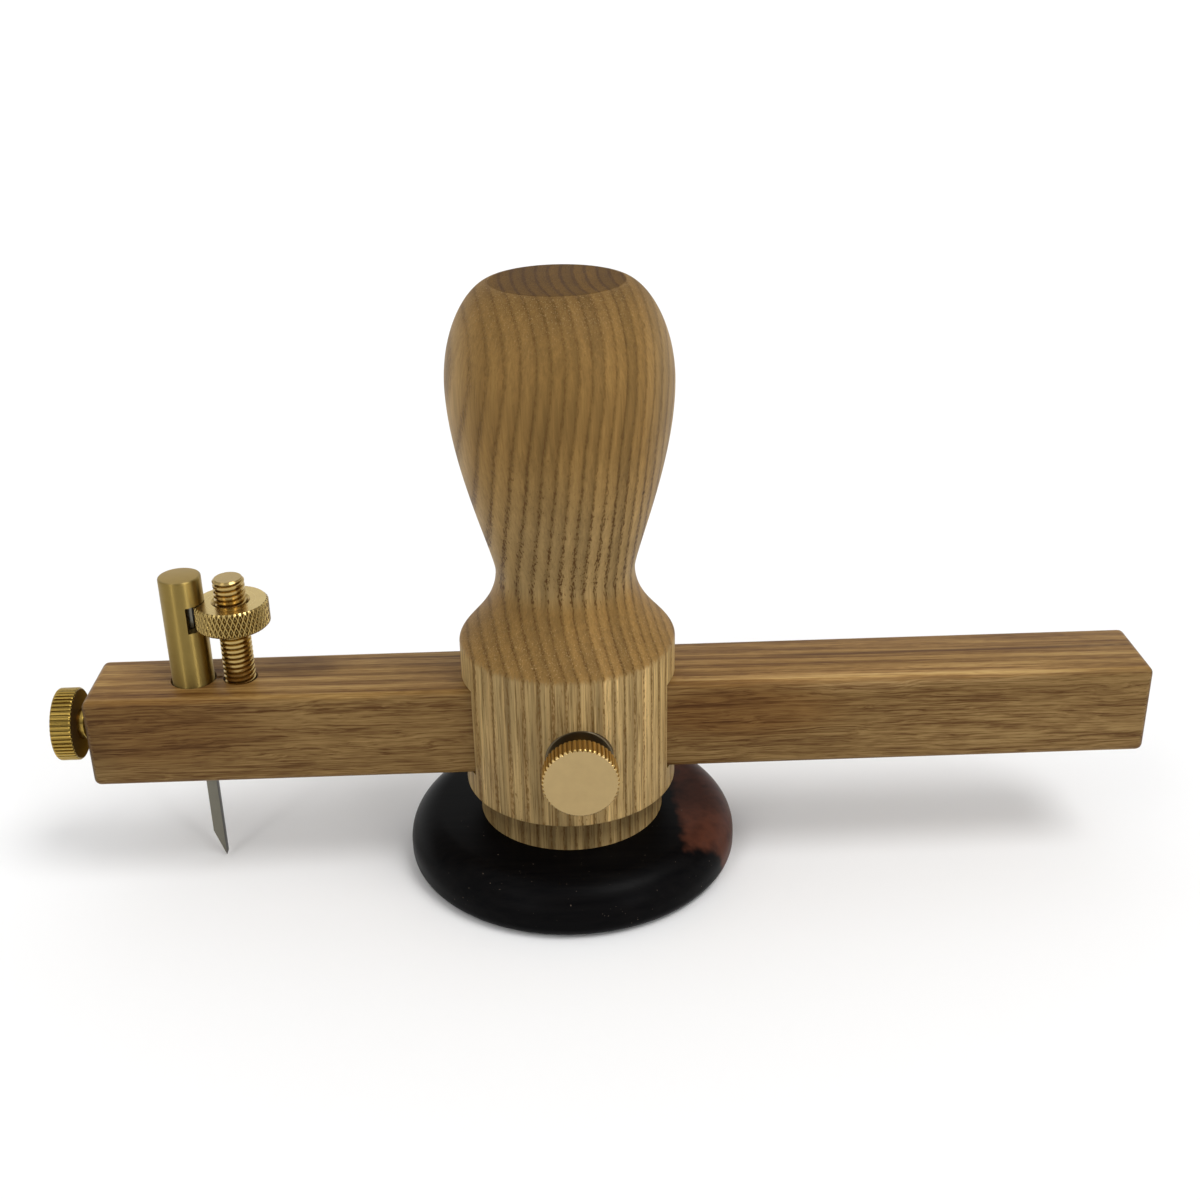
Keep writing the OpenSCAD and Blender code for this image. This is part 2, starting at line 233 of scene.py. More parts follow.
class Nodes:
    """Short forms for building a node tree. Values may be numbers, tuples or sockets."""

    def __init__(self, name):
        self.material = bpy.data.materials.new(name)
        self.material.use_nodes = True
        self.tree = self.material.node_tree
        self.shader = self.tree.nodes["Principled BSDF"]

    def set(self, socket, value):
        if isinstance(value, bpy.types.NodeSocket):
            self.tree.links.new(value, socket)
        else:
            socket.default_value = value

    def add(self, kind, **settings):
        node = self.tree.nodes.new(kind)
        for key, value in settings.items():
            setattr(node, key, value)
        return node

    def math(self, operation, a, b=0.0, clamp=False):
        node = self.add("ShaderNodeMath", operation=operation, use_clamp=clamp)
        self.set(node.inputs[0], a)
        self.set(node.inputs[1], b)
        return node.outputs[0]

    def point(self):
        """The point on the piece, in millimetres of the frame."""
        coords = self.add("ShaderNodeTexCoord").outputs["Object"]
        return self.stretch(coords, (1000, 1000, 1000))

    def facing(self, axis):
        """How squarely the surface faces along an axis, from 0 to 1."""
        normal = self.add("ShaderNodeTexCoord").outputs["Normal"]
        return self.math("ABSOLUTE", self.dot(normal, axis))

    def stretch(self, vector, factors):
        node = self.add("ShaderNodeVectorMath", operation="MULTIPLY")
        self.set(node.inputs[0], vector)
        self.set(node.inputs[1], factors)
        return node.outputs[0]

    def shift(self, vector, offset):
        node = self.add("ShaderNodeVectorMath", operation="ADD")
        self.set(node.inputs[0], vector)
        self.set(node.inputs[1], offset)
        return node.outputs[0]

    def dot(self, vector, axis):
        node = self.add("ShaderNodeVectorMath", operation="DOT_PRODUCT")
        self.set(node.inputs[0], vector)
        self.set(node.inputs[1], axis)
        return node.outputs["Value"]

    def length(self, vector):
        node = self.add("ShaderNodeVectorMath", operation="LENGTH")
        self.set(node.inputs[0], vector)
        return node.outputs["Value"]

    def along_x(self, vector):
        """The x of a point in all three parts of a vector."""
        x = self.dot(vector, (1, 0, 0))
        node = self.add("ShaderNodeCombineXYZ")
        for socket in node.inputs:
            self.set(socket, x)
        return node.outputs[0]

    def gray(self, value):
        node = self.add("ShaderNodeCombineColor")
        for socket in node.inputs[:3]:
            self.set(socket, value)
        return node.outputs[0]

    def noise(self, vector, scale=1.0, detail=2.0, roughness=0.5):
        node = self.add("ShaderNodeTexNoise", noise_dimensions="3D")
        self.set(node.inputs["Vector"], vector)
        self.set(node.inputs["Scale"], scale)
        self.set(node.inputs["Detail"], detail)
        self.set(node.inputs["Roughness"], roughness)
        return node.outputs["Fac"]

    def smoothstep(self, value, low, high):
        node = self.add("ShaderNodeMapRange", interpolation_type="SMOOTHSTEP")
        self.set(node.inputs["Value"], value)
        self.set(node.inputs["From Min"], low)
        self.set(node.inputs["From Max"], high)
        return node.outputs["Result"]

    def remap(self, value, low, high, to_low, to_high):
        node = self.add("ShaderNodeMapRange")
        for key, number in zip(("From Min", "From Max", "To Min", "To Max"), (low, high, to_low, to_high)):
            self.set(node.inputs[key], number)
        self.set(node.inputs["Value"], value)
        return node.outputs["Result"]

    def mix(self, factor, a, b, blend="MIX"):
        node = self.add("ShaderNodeMix", data_type="RGBA", blend_type=blend)
        self.set(node.inputs["Factor"], factor)
        self.set(node.inputs["A"], a)
        self.set(node.inputs["B"], b)
        return node.outputs["Result"]

    def ramp(self, factor, stops):
        node = self.add("ShaderNodeValToRGB")
        elements = node.color_ramp.elements
        while len(elements) < len(stops):
            elements.new(1.0)
        for element, (position, color) in zip(elements, stops):
            element.position = position
            element.color = color
        self.set(node.inputs[0], factor)
        return node.outputs["Color"]

    def bump(self, height, distance, strength=1.0, normal=None):
        node = self.add("ShaderNodeBump")
        self.set(node.inputs["Height"], height)
        self.set(node.inputs["Distance"], distance)
        self.set(node.inputs["Strength"], strength)
        if normal is not None:
            self.set(node.inputs["Normal"], normal)
        return node.outputs["Normal"]

    def seen(self):
        """1 for the rays of the camera, of metal and of glass, which show the background."""
        path = self.add("ShaderNodeLightPath").outputs
        mirrored = self.math("MAXIMUM", path["Is Glossy Ray"], path["Is Transmission Ray"])
        return self.math("MAXIMUM", path["Is Camera Ray"], mirrored)

    def finish(self, **inputs):
        for key, value in inputs.items():
            self.set(self.shader.inputs[key.replace("_", " ")], value)
        return self.material


def srgb(r, g, b):
    """Linear colour of a display colour given from 0 to 255."""
    def channel(c):
        c /= 255
        return c / 12.92 if c <= 0.04045 else ((c + 0.055) / 1.055) ** 2.4
    return (channel(r), channel(g), channel(b), 1.0)


def tint(n, color, factor, low, high):
    """Darkens or lightens a colour, as a noise value runs from 0.3 to 0.7."""
    return n.mix(1.0, color, n.gray(n.remap(factor, 0.3, 0.7, low, high)), "MULTIPLY")


def ring_phase(n, distance, wobble, width, spread):
    """Phase from 0 to 1 within a growth ring, and a random tone of the ring itself."""
    slow = n.math("SUBTRACT", n.noise(wobble, 0.11, 1.0), 0.5)
    fine = n.math("SUBTRACT", n.noise(n.shift(wobble, (3, 17, 29)), 0.8, 1.0), 0.5)
    drift = n.math("ADD", n.math("MULTIPLY", slow, spread), n.math("MULTIPLY", fine, spread * 0.16))
    count = n.math("DIVIDE", n.math("ADD", distance, drift), width)
    phase = n.math("FRACT", count)
    white = n.add("ShaderNodeTexWhiteNoise", noise_dimensions="1D")
    n.set(white.inputs["W"], n.math("FLOOR", count))
    return phase, white.outputs["Value"]


def spot(n, p, centre, size):
    """1 in the middle of a small fleck, 0 outside it."""
    arm = n.stretch(n.shift(p, tuple(-c for c in centre)), tuple(1 / s for s in size))
    return n.smoothstep(n.length(arm), 1.0, 0.35)


RING_WIDTH = 2.15
PITH = (52.9, 4.35)
RING_SHADES = ((0.0, 0.58), (0.07, 0.66), (0.15, 0.90), (0.27, 1.12), (0.40, 1.20), (0.54, 1.12),
               (0.70, 0.98), (0.84, 0.86), (0.94, 0.74), (1.0, 0.58))
HANDLE_FLECKS = (((14.2, -10.1, 108.9), (0.5, 0.5, 1.1)), ((14.0, -11.3, 79.7), (0.4, 0.4, 0.9)),
                 ((14.8, -11.9, 51.5), (0.5, 0.7, 0.5)))


def handle_wood():
    """Oiled ash. The rings are upright arcs about a far pith, so they follow the turned shape."""
    n = Nodes("handle_wood")
    p = n.point()
    height = n.dot(p, (0, 0, 1))
    slope = n.facing((0, 0, 1))
    fibres = n.noise(n.shift(n.stretch(p, (1, 1, 0.025)), (8, 3, 13)), 2.6, 4.0, 0.75)
    streaks = n.noise(n.shift(n.stretch(p, (1, 1, 0.02)), (21, 6, 4)), 1.25, 2.0, 0.6)
    ragged = n.math("MULTIPLY", n.math("SUBTRACT", fibres, 0.5), 3.0)
    barrel = n.smoothstep(n.math("ADD", height, ragged), 47.9, 46.7)
    arm = n.stretch(n.shift(p, (-PITH[0], -PITH[1], 0)), (1, 1, 0))
    crown = n.smoothstep(height, 84, 108)
    distance = n.math("SUBTRACT", 57.0, n.length(arm))
    distance = n.math("SUBTRACT", distance, n.math("MULTIPLY", n.smoothstep(height, 87, 112), 2.4))
    phase, tone = ring_phase(n, distance, n.stretch(p, (1, 1, 0.03)), RING_WIDTH, 0.5)
    shade = n.ramp(phase, [(at, (v / 1.2, v / 1.2, v / 1.2, 1)) for at, v in RING_SHADES])
    shoulder = n.math("MULTIPLY", n.smoothstep(height, 46.5, 49), n.smoothstep(height, 61, 56))
    soft = n.math("ADD", n.math("MULTIPLY", crown, 0.5), n.math("MULTIPLY", shoulder, 0.3))
    shade = n.mix(soft, shade, (0.76, 0.76, 0.76, 1))
    x = n.dot(p, (1, 0, 0))
    grip = n.mix(shade, srgb(79, 52, 18), srgb(151, 117, 65))
    waist = n.mix(shade, srgb(86, 60, 25), srgb(169, 140, 91))
    pale = n.mix(shade, srgb(109, 77, 36), srgb(182, 154, 103))
    pale = n.mix(1.0, pale, n.gray(n.remap(x, -14, 14, 0.9, 1.12)), "MULTIPLY")
    waist_and_flank_sheen = n.math("MULTIPLY", n.smoothstep(height, 57, 62), n.smoothstep(height, 90, 62))
    # painted sheen: the left and right flanks above the shoulder are paled towards the waist's colour
    painted_flank_sheen = n.math("MULTIPLY", n.smoothstep(n.math("ABSOLUTE", x), 13, 19), 0.6)
    waist_and_flank_sheen = n.math("MAXIMUM", waist_and_flank_sheen, n.math("MULTIPLY", painted_flank_sheen, n.smoothstep(height, 57, 70)))
    color = n.mix(barrel, n.mix(waist_and_flank_sheen, grip, waist), pale)
    taper = n.math("MULTIPLY", n.smoothstep(height, 67, 76), n.smoothstep(height, 93, 84))
    color = n.mix(taper, color, (1.12, 1.15, 1.22, 1), "MULTIPLY")
    color = tint(n, color, n.remap(tone, 0, 1, 0.3, 0.7), 0.82, 1.14)
    clouds = n.noise(n.shift(n.stretch(p, (1, 1, 0.35)), (12, 5, 3)), 0.13, 2.0, 0.6)
    color = tint(n, color, clouds, 0.88, 1.1)
    depth = n.math("ADD", 0.2, n.math("MULTIPLY", barrel, 0.17))
    color = n.mix(1.0, color, n.gray(n.remap(fibres, 0.3, 0.7, n.math("SUBTRACT", 1.0, depth),
                                             n.math("ADD", 1.0, depth))), "MULTIPLY")
    broad = n.math("ADD", 0.07, n.math("MULTIPLY", barrel, 0.18))
    color = n.mix(1.0, color, n.gray(n.remap(streaks, 0.35, 0.65, n.math("SUBTRACT", 1.0, broad),
                                             n.math("ADD", 1.0, broad))), "MULTIPLY")
    creases = n.math("MULTIPLY", n.smoothstep(fibres, 0.46, 0.37), barrel)
    color = n.mix(n.math("MULTIPLY", creases, 0.6), color, srgb(106, 76, 34))
    late = n.math("FRACT", n.math("ADD", phase, 0.44))
    line = n.math("MULTIPLY", n.math("ABSOLUTE", n.math("SUBTRACT", late, 0.5)), RING_WIDTH)
    reach = n.math("SUBTRACT", n.remap(waist_and_flank_sheen, 0, 1, 0.45, 0.8), n.math("MULTIPLY", barrel, 0.1))
    rows = n.smoothstep(line, reach, 0.1)
    patches = n.noise(n.shift(n.stretch(p, (1, 1, 0.3)), (2, 31, 7)), 0.16, 1.0)
    dashes = n.noise(n.shift(n.stretch(p, (1, 1, 0.26)), (5, 17, 11)), 3.7, 2.0, 0.55)
    level = n.math("ADD", n.remap(rows, 0, 1, 0.64, 0.45), n.remap(patches, 0.3, 0.7, 0.05, -0.03))
    flat = n.smoothstep(slope, 0.975, 0.995)
    level = n.math("SUBTRACT", level, n.math("MULTIPLY", flat, 0.08))
    pores = n.math("MULTIPLY", n.math("SUBTRACT", dashes, level), 10.0, clamp=True)
    clear = n.math("ADD", n.remap(n.smoothstep(height, 66, 98), 0, 1, 0.85, 0.28), n.math("MULTIPLY", flat, 0.4))
    clear = n.math("SUBTRACT", clear, n.math("MULTIPLY", barrel, 0.2))
    clear = n.math("SUBTRACT", clear, n.math("MULTIPLY", shoulder, 0.4))
    color = n.mix(n.math("MULTIPLY", pores, clear), color, n.mix(barrel, srgb(76, 45, 11), srgb(103, 70, 28)))
    for centre, size in HANDLE_FLECKS:
        color = n.mix(n.math("MULTIPLY", spot(n, p, centre, size), 0.7), color, srgb(60, 38, 16))
    cut = n.smoothstep(slope, 0.15, 0.95)
    # painted glints: small pale flecks on the cut ends of the fibres
    painted_glints = n.smoothstep(n.noise(n.stretch(p, (1, 1, 0.4)), 5.0, 1.0), 0.6, 0.7)
    color = n.mix(n.math("MULTIPLY", n.math("MULTIPLY", painted_glints, cut), 0.45), color, srgb(214, 184, 130))
    dark = n.math("ADD", n.math("MULTIPLY", cut, 0.12), n.math("MULTIPLY", n.math("MULTIPLY", cut, crown), 0.24))
    dark = n.math("ADD", dark, n.math("MULTIPLY", flat, 0.3))
    # painted shade: the foot under the barrel's ledge is darkened, most just below the ledge and less towards the
    # sole
    foot = n.math("MULTIPLY", n.smoothstep(height, 17.3, 16.9), n.remap(height, 10.5, 13.5, 0.2, 0.5))
    dark = n.math("ADD", dark, foot)
    color = n.mix(dark, color, srgb(44, 24, 6))
    color = n.mix(flat, color, (1.0, 0.89, 0.36, 1), "MULTIPLY")
    relief = n.math("SUBTRACT", n.math("MULTIPLY", fibres, 0.35), pores)
    return n.finish(Base_Color=color, Roughness=n.remap(cut, 0, 1, 0.45, 0.65), Specular_IOR_Level=0.1,
                    Normal=n.bump(relief, 0.00006, 0.5))


# Centre and reach in millimetres, and what multiplies the colour there
BEAM_PATCHES = (
    ((-80, -9, 34), (32, 30, 11), (0.71, 0.62, 0.53)),
    ((32, -9, 34), (28, 30, 8), (0.78, 0.66, 0.54)),
    ((85, -9, 27), (42, 30, 12), (1.2, 1.24, 1.3)),
    ((-52, 3.5, 40), (12, 6, 2), (0.55, 0.50, 0.45)),
    # painted highlight along the front edge of the top, on the right
    ((62, -7.5, 40), (46, 4, 3), (1.52, 1.63, 1.9)),
    ((60, 3, 39), (70, 12, 6), (0.89, 0.85, 0.79)),
    ((-98, -9, 30), (16, 30, 16), (0.84, 0.88, 0.92)),
    ((-92, 3, 40), (20, 8, 3), (1.22, 1.25, 1.2)),
)


def beam_wood():
    """Brown ash. Long soft streaks run along its top and bottom, short wavy flecks along its sides."""
    n = Nodes("beam_wood")
    p = n.point()
    x = n.dot(p, (1, 0, 0))
    tilted = n.add("ShaderNodeVectorMath", operation="ADD")
    n.set(tilted.inputs[0], p)
    n.set(tilted.inputs[1], n.stretch(n.along_x(p), (0, 0.02, 0.012)))
    q = tilted.outputs[0]
    swing = n.math("SUBTRACT", n.noise(n.stretch(p, (0.05, 0.2, 0.2)), 1.0, 2.0), 0.5)
    warp = n.add("ShaderNodeCombineXYZ")
    n.set(warp.inputs[1], n.math("MULTIPLY", swing, 2.4))
    n.set(warp.inputs[2], n.math("MULTIPLY", swing, 2.4))
    wavy = n.shift(p, warp.outputs[0])
    rings = n.math("MULTIPLY", n.math("ADD", n.dot(q, (0, 1, 0)), n.math("MULTIPLY", swing, 1.6)), 1.93)
    bands = n.remap(n.math("COSINE", n.math("SUBTRACT", rings, 3.9)), -1, 1, 0.66, 0.36)
    lines = n.noise(n.shift(n.stretch(q, (0.016, 1, 1)), (4, 9, 2)), 1.7, 3.0, 0.65)
    hair = n.noise(n.shift(n.stretch(wavy, (0.06, 1, 1)), (1, 5, 14)), 4.2, 2.0, 0.6)
    streaks = n.math("ADD", n.math("MULTIPLY", bands, 0.3), n.math("MULTIPLY", lines, 0.45))
    streaks = n.math("ADD", streaks, n.math("MULTIPLY", hair, 0.25))
    top = n.ramp(streaks, [(0.35, srgb(82, 52, 22)), (0.44, srgb(110, 78, 38)), (0.52, srgb(136, 103, 56)),
                           (0.6, srgb(158, 126, 74)), (0.7, srgb(172, 141, 88))])
    near = n.math("ABSOLUTE", n.math("SUBTRACT", n.dot(p, (0, 1, 0)), 1.6))
    stripe = n.math("MULTIPLY", n.smoothstep(near, 0.9, 0.1), n.smoothstep(x, 32, 50))
    top = n.mix(n.math("MULTIPLY", n.math("MULTIPLY", stripe, hair), 1.3, clamp=True), top, srgb(66, 34, 10))
    flecks = n.noise(n.shift(n.stretch(wavy, (0.023, 1, 1)), (6, 2, 8)), 2.9, 3.0, 0.68)
    clouds = n.noise(n.stretch(n.shift(wavy, (9, 4, 1)), (0.03, 0.4, 0.4)), 1.0, 2.0, 0.6)
    mixed = n.math("ADD", n.math("MULTIPLY", flecks, 0.56), n.math("MULTIPLY", clouds, 0.26))
    mixed = n.math("ADD", mixed, n.math("MULTIPLY", hair, 0.18))
    side = n.ramp(mixed, [(0.34, srgb(154, 124, 78)), (0.46, srgb(137, 108, 65)), (0.52, srgb(118, 89, 51)),
                          (0.6, srgb(88, 59, 29)), (0.68, srgb(75, 47, 21))])
    edge = n.math("MULTIPLY", n.math("SUBTRACT", n.noise(n.stretch(p, (0.15, 1, 1)), 0.9, 2.0), 0.5), 0.9)
    facing_up = n.smoothstep(n.math("ADD", n.facing((0, 0, 1)), edge), 0.35, 0.8)
    color = n.mix(facing_up, side, top)
    for centre, size, tone in BEAM_PATCHES:
        color = n.mix(spot(n, wavy, centre, size), color, (*tone, 1), "MULTIPLY")
    end = n.smoothstep(n.facing((1, 0, 0)), 0.35, 0.95)
    color = n.mix(n.math("MULTIPLY", end, 0.5), color, srgb(40, 24, 10))
    relief = n.math("SUBTRACT", n.math("MULTIPLY", hair, 0.5), n.math("MULTIPLY", flecks, 0.5))
    return n.finish(Base_Color=color, Roughness=0.42, Specular_IOR_Level=0.1,
                    Normal=n.bump(relief, 0.00006, 0.5))


def sole_wood():
    """Black ebony with a satin sheen, a brown patch at one side and a little dust on its front."""
    n = Nodes("sole_wood")
    p = n.point()
    streaks = n.noise(n.stretch(p, (0.08, 1, 1)), 0.9, 3.0)
    black = n.ramp(streaks, [(0.3, srgb(5, 5, 6)), (0.7, srgb(12, 11, 11))])
    mottle = n.noise(n.shift(p, (4, 2, 8)), 0.22, 3.0)
    brown = n.ramp(mottle, [(0.3, srgb(58, 34, 26)), (0.55, srgb(82, 47, 34)), (0.75, srgb(68, 44, 36))])
    ragged = n.math("MULTIPLY", n.math("SUBTRACT", n.noise(p, 0.3, 2.0), 0.5), 3.0)
    side = n.smoothstep(n.math("ADD", n.dot(p, (1, 0.04, 0)), ragged), 19.6, 21.6)
    front = n.smoothstep(n.math("ADD", n.dot(p, (-0.51, 1, 0)), ragged), -30.5, -28.5)
    color = n.mix(n.math("MULTIPLY", side, front), black, brown)
    near = n.smoothstep(n.dot(p, (0.1, -1, 0)), 8, 24)
    specks = n.smoothstep(n.noise(p, 2.6, 0.0), n.remap(near, 0, 1, 0.9, 0.83), 0.93)
    color = n.mix(n.math("MULTIPLY", specks, 0.8), color, srgb(110, 98, 86))
    fine = n.noise(n.stretch(p, (0.3, 2, 2)), 3.0, 3.0)
    return n.finish(Base_Color=color, Roughness=n.remap(fine, 0.3, 0.7, 0.3, 0.38),
                    Specular_IOR_Level=0.035, Normal=n.bump(fine, 0.00001, 0.4))


def metal(name, side, face, roughness, centre=(0, 0, 0), axis=(0, 0, 1), back=None, grooves=(),
          anisotropy=0.0):
    """Metal turned on a lathe about an axis: fine marks run round it and stretch its highlights.

    Its faces square to the axis have their own copies of the colour, lighter or darker, a painted reflection:
    face looks against the axis, back along it. Grooves, given as outer radius, depth, the squareness from which
    they stop and how much they darken, are dark at their bottoms."""
    n = Nodes(name)
    p = n.point()
    arm = n.shift(p, tuple(-1000 * c for c in centre))
    cross = n.add("ShaderNodeVectorMath", operation="CROSS_PRODUCT")
    n.set(cross.inputs[0], arm)
    n.set(cross.inputs[1], axis)
    radius = n.length(cross.outputs[0])
    place = n.add("ShaderNodeCombineXYZ")
    n.set(place.inputs[0], radius)
    n.set(place.inputs[1], n.dot(arm, axis))
    marks = n.noise(place.outputs[0], 7.0, 3.0, 0.75)
    towards = n.dot(n.add("ShaderNodeTexCoord").outputs["Normal"], axis)
    # painted reflection: faces square to the axis take their own lighter or darker copies of the colour
    color = n.mix(n.smoothstep(towards, -0.5, -0.95), side, face)
    color = n.mix(n.smoothstep(towards, 0.5, 0.95), color, back or face)
    color = tint(n, color, n.noise(p, 0.5, 3.0, 0.6), 0.96, 1.03)
    # the bottoms of the grooves are darkened, picked out by their radius
    for outer, depth, limit, darkening in grooves:
        low = n.math("MULTIPLY", n.smoothstep(radius, outer - 0.25 * depth, outer - 0.85 * depth),
                     n.smoothstep(radius, outer - 1.6 * depth, outer - 1.2 * depth))
        level = n.smoothstep(n.math("ABSOLUTE", towards), limit * 1.03, limit)
        color = n.mix(n.math("MULTIPLY", n.math("MULTIPLY", low, level), darkening), color, (0.045, 0.025, 0.006, 1))
    rough = n.remap(marks, 0.3, 0.7, roughness * 0.9, roughness * 1.12)
    if anisotropy:
        tangent = n.add("ShaderNodeTangent", direction_type="RADIAL")
        tangent.axis = "XYZ"[max(range(3), key=lambda i: abs(axis[i]))]
        n.finish(Tangent=tangent.outputs[0], Anisotropic=anisotropy, Anisotropic_Rotation=0.25)
    return n.finish(Base_Color=color, Metallic=1.0, Roughness=rough,
                    Normal=n.bump(marks, 0.000003, 0.35))


HANDLE_WOOD = handle_wood()
BEAM_WOOD = beam_wood()
SOLE_WOOD = sole_wood()
CLAMP_AXIS = (CLAMP_X, 0, BEAM_MID.z)
LOCK_AXIS = (0, 0, BEAM_MID.z)
ROD_AXIS = (NUT_MID.x, 0, 0)
THREAD_GROOVE = (2.95, 0.5, 0.97, 0.35)
RIDGES = (7.0, 0.35, 0.3, 0.4)
KNURL = (7.0, 0.42, 0.6, 0.45)
BRASS = metal("brass", (0.42, 0.30, 0.11, 1), (0.42, 0.30, 0.11, 1), 0.3)
CLAMP_BRASS = metal("clamp_brass", (0.68, 0.465, 0.16, 1), (0.43, 0.31, 0.145, 1), 0.32, CLAMP_AXIS, (0, 1, 0),
                    grooves=(THREAD_GROOVE, RIDGES))
# The lock knob's back colour is a painted reflection: a dark copy of the brass for the faces that look onto the
# beam's end.
LOCK_BRASS = metal("lock_brass", (0.37, 0.25, 0.058, 1), (0.43, 0.31, 0.145, 1), 0.22, LOCK_AXIS, (1, 0, 0),
                   (0.14, 0.09, 0.04, 1), (THREAD_GROOVE, RIDGES))
# painted reflection: a dark, rough copy of the brass for the lock knob's flat back face
PAINTED_REFLECTION_BRASS = metal("painted_reflection_brass", (0.2, 0.13, 0.055, 1), (0.2, 0.13, 0.055, 1), 0.55, LOCK_AXIS, (1, 0, 0))
PAINTED_REFLECTION_BRASS.node_tree.nodes["Principled BSDF"].inputs["Specular Tint"].default_value = (0.4, 0.32, 0.22, 1)
POST_BRASS = metal("post_brass", (0.312, 0.219, 0.064, 1), (0.36, 0.26, 0.09, 1), 0.43, (POST_MID.x, 0, 0),
                   anisotropy=1.0)
FACED_BRASS = metal("faced_brass", (0.3, 0.21, 0.07, 1), (0.375, 0.255, 0.069, 1), 0.38, (POST_MID.x, 0, 0))
ROD_BRASS = metal("rod_brass", (0.45, 0.315, 0.115, 1), (0.50, 0.36, 0.14, 1), 0.2, ROD_AXIS,
                  grooves=(THREAD_GROOVE,))
NUT_BRASS = metal("nut_brass", (0.345, 0.245, 0.084, 1), (0.68, 0.51, 0.2, 1), 0.25, ROD_AXIS, grooves=(KNURL,))
STEEL = metal("steel", (0.17, 0.162, 0.13, 1), (0.17, 0.162, 0.13, 1), 0.3)
SHADED_STEEL = metal("shaded_steel", (0.05, 0.047, 0.038, 1), (0.05, 0.047, 0.038, 1), 0.4)
DARK_STEEL = metal("dark_steel", (0.16, 0.13, 0.09, 1), (0.13, 0.10, 0.055, 1), 0.38, CLAMP_AXIS, (0, 1, 0))


def dress(piece, body, slot, material, *nodes):
    """Gives a finished piece its material and body, and hides the CAD nodes that it stands for. The slot is not
    used.
    """
    piece.data.materials.clear()
    piece.data.materials.append(material)
    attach(piece, body)
    if nodes:
        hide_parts(*nodes)
    return piece


def face_ends(piece, material, *axes):
    """The flat faces that look along the axes get a second material."""
    piece.data.materials.append(material)
    for face in piece.data.polygons:
        if max(face.normal.dot(Vector(axis)) for axis in axes) > 0.999:
            face.material_index = 1


# Wooden pieces

def handle_outline():
    foot, step = SOLE_H, SOLE_H + FOOT_H
    shoulder, neck, grip = SOLE_H + SHOULDER_H, SOLE_H + NECK_H, SOLE_H + GRIP_H
    cove, rise, crown = neck - shoulder, grip - neck, TOP_Z - grip
    top_pull = TOP_R + 0.43 * (GRIP_R - TOP_R)
    edge = 0.35 * MM
    return (
        [(0, foot)]
        + line((FOOT_R, foot), (FOOT_R, step), 1.5 * MM) + [(FOOT_R, step)]
        + arc(BARREL_R - edge, step + edge, edge, -90, 0, 5)
        + line((BARREL_R, step + MM), (BARREL_R, shoulder), 1.5 * MM)
        + cubic((BARREL_R, shoulder), (BARREL_R, shoulder + 0.14 * cove),
                (NECK_R, neck - 0.55 * cove), (NECK_R, neck), 28)[:-1]
        + cubic((NECK_R, neck), (NECK_R, neck + 0.1 * rise),
                (GRIP_R, grip - 0.41 * rise), (GRIP_R, grip), 40)[:-1]
        + cubic((GRIP_R, grip), (GRIP_R, grip + 0.57 * crown), (top_pull, TOP_Z), (TOP_R, TOP_Z), 32)
        + [(0, TOP_Z)]
    )


def make_handle():
    handle = turned("turned_handle", handle_outline(), 256)
    mortise = block("mortise", (-30 * MM, BEAM_LOW.y - SLIDE_GAP, BEAM_LOW.z - SLIDE_GAP),
                    (30 * MM, BEAM_HIGH.y + SLIDE_GAP, BEAM_HIGH.z + SLIDE_GAP))
    flange_r = (FLANGE_HIGH.x - FLANGE_LOW.x) / 2 + 0.05 * MM
    seat_y = FLANGE_LOW.y + 1.4 * MM
    seat = turned("seat", [(0, 0), (flange_r, 0), (flange_r, 8 * MM), (0, 8 * MM)], 96)
    placed(seat, along((0, -1, 0), (CLAMP_X, seat_y, BEAM_MID.z)))
    bore_r = 4.5 * MM
    bore = turned("bore", [(0, 0), (bore_r, 0), (bore_r, 14 * MM), (0, 14 * MM)], 64)
    placed(bore, along((0, -1, 0), (CLAMP_X, BEAM_LOW.y + 2 * MM, BEAM_MID.z)))
    carve(handle, mortise, seat, bore)
    dress(smooth(handle, 32), "handle_unit", "handle_wood", HANDLE_WOOD, "handle")


def worn_hole(name, radius, x, low):
    """Cutter for a hole in the beam's top, from its low end to its slightly worn mouth."""
    top, wide = BEAM_HIGH.z, radius + 0.3 * MM
    cutter = turned(name, [(0, low), (radius, low), (radius, top - 0.35 * MM), (wide, top + 0.05 * MM),
                           (wide, top + MM), (0, top + MM)], 96)
    return placed(cutter, Matrix.Translation((x, 0, 0)))


